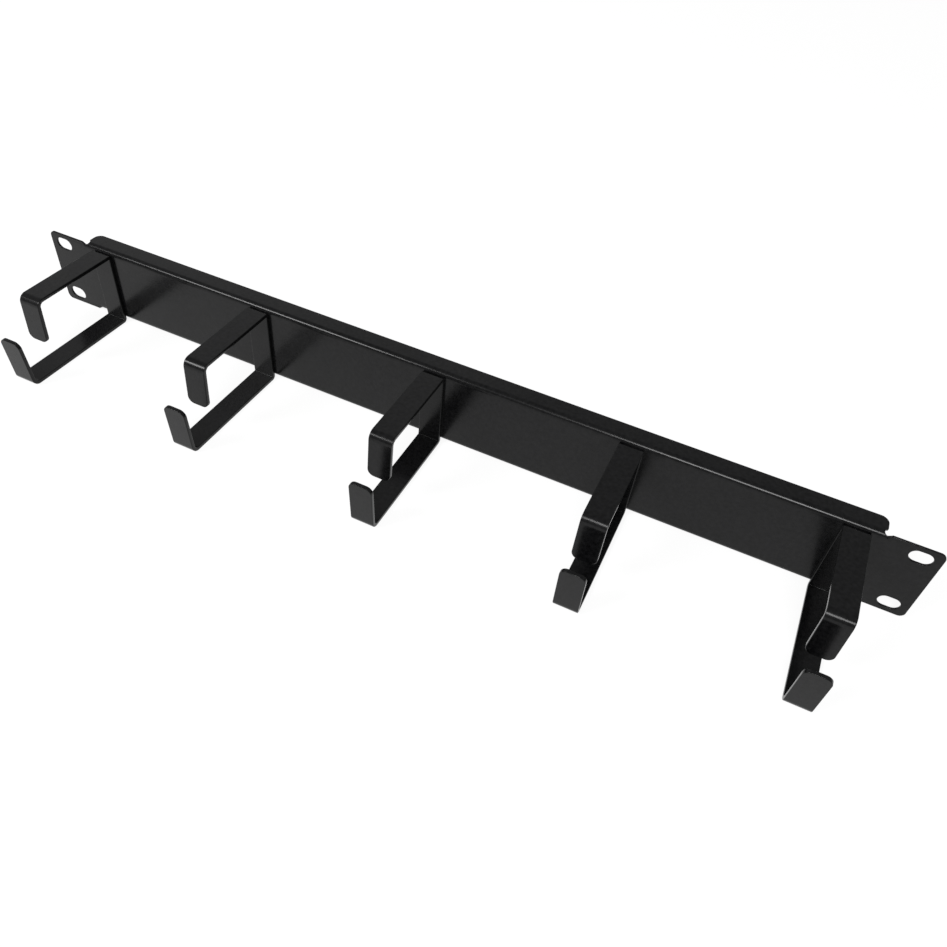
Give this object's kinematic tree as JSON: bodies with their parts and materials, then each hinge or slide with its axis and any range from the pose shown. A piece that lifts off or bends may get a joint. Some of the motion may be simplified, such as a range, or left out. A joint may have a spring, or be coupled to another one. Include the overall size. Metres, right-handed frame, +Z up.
{
  "type": "horizontal cable manager",
  "caption": "Folded steel rack panel, one unit high, with a row of open flat-strip rings welded to its front that hold patch cables in a level run.",
  "frame": {"origin": "centre of the panel, on the plane where the rear faces of its ears meet the rack rails", "axes": "+X along the rack's width, to the right as seen from the front; +Z up; the front and the rings face -Y"},
  "size_m": [0.4826, 0.0829, 0.0451],
  "materials": {
    "powder_coat": "black satin powder coat"
  },
  "bodies": {
    "root": {"front_panel": "powder_coat", "cable_ring_1": "powder_coat", "cable_ring_2": "powder_coat", "cable_ring_3": "powder_coat", "cable_ring_4": "powder_coat", "cable_ring_5": "powder_coat"}
  },
  "joints": []
}
